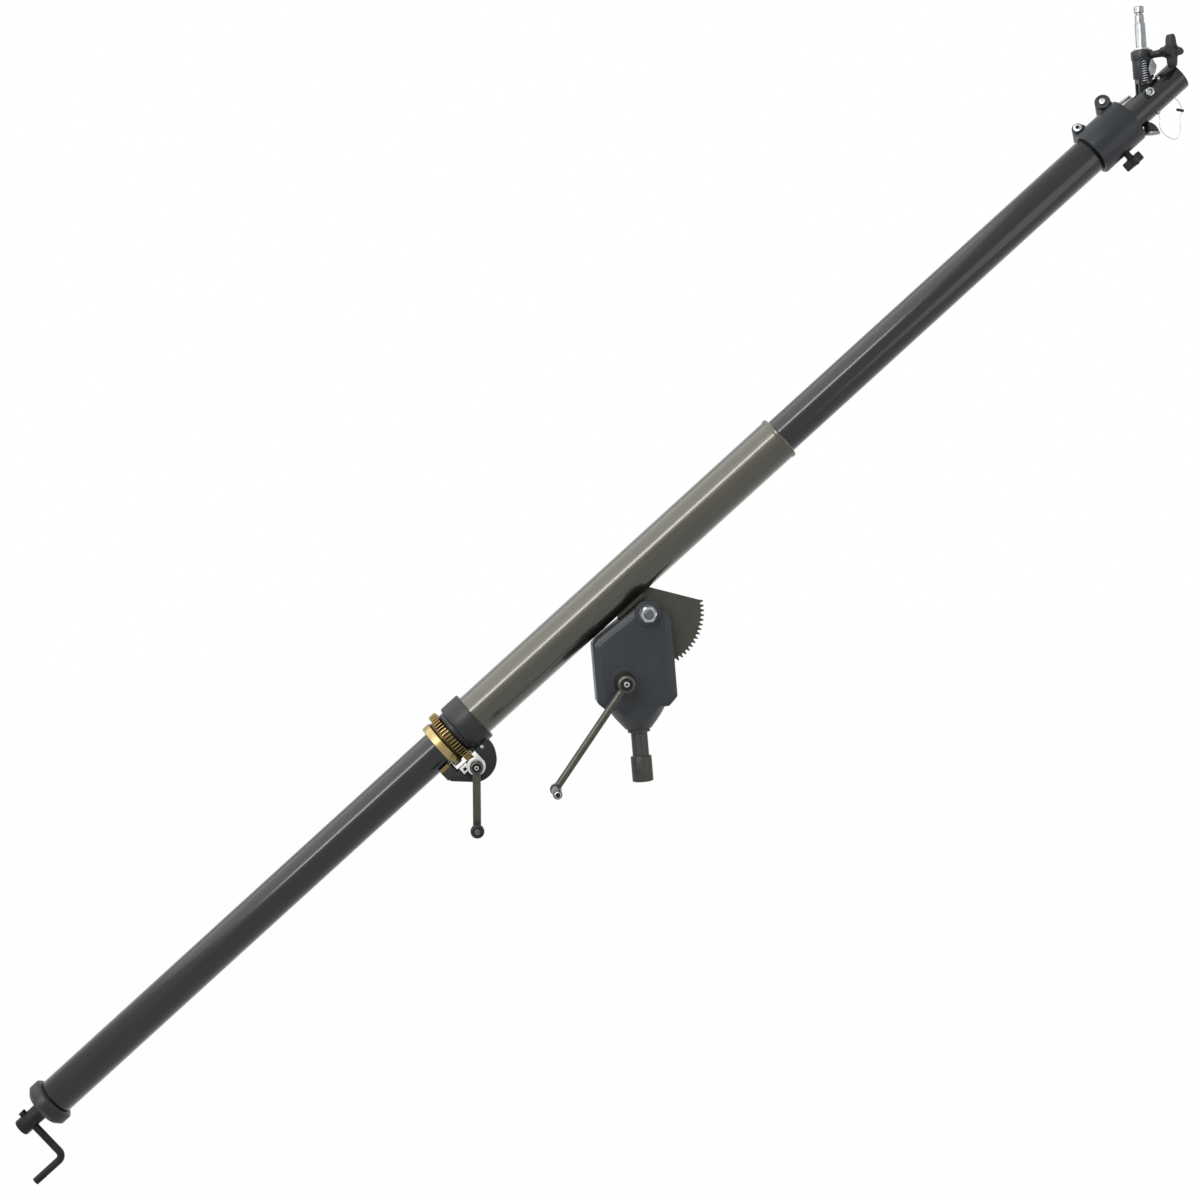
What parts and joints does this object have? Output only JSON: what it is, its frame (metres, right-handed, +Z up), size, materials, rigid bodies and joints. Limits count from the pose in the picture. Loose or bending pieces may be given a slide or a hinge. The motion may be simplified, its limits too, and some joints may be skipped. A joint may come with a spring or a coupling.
{
  "type": "overhead boom arm",
  "caption": "Geared overhead boom arm on a stand spigot: telescoping tube, crank-driven tilt and roll, and a tilting stud holder at the tip.",
  "frame": {"origin": "centre of the stand spigot's bottom face", "axes": "+Z up along the spigot, +X toward the boom's tip, +Y away from the crank side"},
  "size_m": [1.6616, 0.1609, 1.4217],
  "materials": {
    "satin_black": "satin black paint",
    "gunmetal": "olive gunmetal, satin sheen",
    "cast_paint": "blue-grey satin paint on cast metal",
    "phosphate_steel": "dark phosphated steel",
    "brass": "machined brass",
    "bronze": "plain bronze",
    "zinc": "bright zinc plate",
    "grey_zinc": "dull zinc plate",
    "chrome": "polished chrome",
    "black_plastic": "black moulded plastic",
    "aluminium": "pale machined aluminium",
    "black_oxide": "black oxide steel"
  },
  "bodies": {
    "housing": {"housing_near_half": "cast_paint", "housing_far_half": "cast_paint", "stand_spigot": "phosphate_steel", "pivot_bolt": "zinc", "pivot_nut": "zinc", "pivot_washer_near": "zinc", "pivot_washer_far": "zinc"},
    "tilt_crank": {"tilt_pinion": "phosphate_steel", "tilt_shaft": "phosphate_steel", "tilt_shaft_ring": "black_oxide", "tilt_arm": "phosphate_steel", "tilt_grip_pin": "zinc"},
    "tilt_grip_body": {"tilt_grip": "phosphate_steel"},
    "sleeve": {"sleeve_tube": "gunmetal", "sleeve_bush_front": "bronze", "sleeve_bush_rear": "bronze", "tilt_sector": "phosphate_steel", "roll_collar": "cast_paint", "roll_plate_near": "cast_paint", "roll_plate_far": "cast_paint", "worm_bearing_block": "aluminium", "roll_brake_shoe": "brass"},
    "roll_worm_body": {"roll_worm": "phosphate_steel", "roll_arm": "phosphate_steel", "roll_knob_pin": "zinc"},
    "roll_knob_body": {"roll_knob": "black_plastic"},
    "boom_tube": {"main_tube": "satin_black", "roll_wheel": "brass", "rear_collar": "cast_paint", "rear_plug": "black_oxide", "tip_guide_ring": "bronze", "clamp_casting": "cast_paint", "clamp_rear_screw": "zinc", "clamp_front_screw": "zinc"},
    "clamp_knob": {"clamp_lock_knob": "black_plastic"},
    "clamp_lever_body": {"clamp_lever": "chrome"},
    "drive_crank": {"drive_stub": "black_oxide", "drive_crank_rod": "black_oxide", "drive_tube": "phosphate_steel", "drive_tube_guide": "bronze"},
    "tip": {"tip_tube": "satin_black", "tip_rear_ring": "bronze", "rod_bearing": "bronze", "tip_end_plug": "black_plastic", "head_pivot_bolt": "zinc", "head_pivot_nut": "zinc", "lower_block": "cast_paint", "lower_disc": "zinc", "lanyard_wire": "zinc", "lanyard_ferrule": "black_oxide"},
    "drive_rod_body": {"drive_rod": "phosphate_steel"},
    "head": {"stud_holder": "cast_paint", "head_wheel": "brass", "spring_bracket": "cast_paint", "latch_spring": "zinc", "stud_latch": "grey_zinc"},
    "stud_body": {"stud": "chrome", "stud_ring": "chrome"},
    "stud_knob_body": {"stud_knob": "black_plastic"}
  },
  "joints": [
    {"name": "boom_tilt", "type": "hinge", "parent": "housing", "child": "sleeve", "pos_m": [0.0225, 0, 0.223], "axis": [0, 1, 0], "range_deg": [0, 85]},
    {"name": "tilt_crank_turn", "type": "hinge", "parent": "housing", "child": "tilt_crank", "pos_m": [-0.01508, 0, 0.13575], "axis": [0, 1, 0], "range_deg": [-320, 0]},
    {"name": "tilt_grip_spin", "type": "hinge", "parent": "tilt_crank", "child": "tilt_grip_body", "pos_m": [-0.11869, 0, 0.00734], "axis": [0, 1, 0], "continuous": true},
    {"name": "boom_roll", "type": "hinge", "parent": "sleeve", "child": "boom_tube", "pos_m": [-0.00901, 0, 0.26437], "axis": [0.7955, 0, 0.606], "continuous": true},
    {"name": "roll_worm_turn", "type": "hinge", "parent": "sleeve", "child": "roll_worm_body", "pos_m": [-0.21866, 0, 0.04369], "axis": [0, 1, 0], "continuous": true},
    {"name": "roll_knob_spin", "type": "hinge", "parent": "roll_worm_body", "child": "roll_knob_body", "pos_m": [-0.22498, 0, -0.03657], "axis": [0, 1, 0], "continuous": true},
    {"name": "extension", "type": "slide", "parent": "boom_tube", "child": "tip", "axis": [0.7955, 0, 0.606], "range_m": [0, 1.6]},
    {"name": "clamp_knob_turn", "type": "hinge", "parent": "boom_tube", "child": "clamp_knob", "pos_m": [0.691, 0, 0.79763], "axis": [-0.606, 0, 0.7955], "continuous": true},
    {"name": "clamp_lever_turn", "type": "hinge", "parent": "boom_tube", "child": "clamp_lever_body", "pos_m": [0.68817, 0.01784, 0.83766], "axis": [0.2845, 0.8829, -0.3735], "range_deg": [-150, 25]},
    {"name": "drive_crank_turn", "type": "hinge", "parent": "boom_tube", "child": "drive_crank", "pos_m": [-0.84426, 0, -0.37192], "axis": [0.7955, 0, 0.606], "range_deg": [-700, 56]},
    {"name": "drive_rod_turn", "type": "hinge", "parent": "tip", "child": "drive_rod_body", "pos_m": [0.70691, 0, 0.80975], "axis": [0.7955, 0, 0.606], "range_deg": [-700, 56]},
    {"name": "head_tilt", "type": "hinge", "parent": "tip", "child": "head", "pos_m": [0.74002, 0, 0.8488], "axis": [0, 1, 0], "range_deg": [-50, 4]},
    {"name": "stud_swivel", "type": "hinge", "parent": "head", "child": "stud_body", "pos_m": [0.74002, 0, 0.8488], "axis": [0, 0, 1], "continuous": true},
    {"name": "stud_knob_turn", "type": "hinge", "parent": "head", "child": "stud_knob_body", "pos_m": [0.74002, 0, 0.8978], "axis": [0.6428, -0.766, 0], "continuous": true}
  ],
  "couplings": [
    {"joint": "tilt_crank_turn", "follows": "boom_tilt", "ratio": -3.75},
    {"joint": "boom_roll", "follows": "roll_worm_turn", "ratio": -0.02},
    {"joint": "head_tilt", "follows": "drive_crank_turn", "ratio": 0.071429},
    {"joint": "drive_rod_turn", "follows": "drive_crank_turn", "ratio": 1}
  ]
}
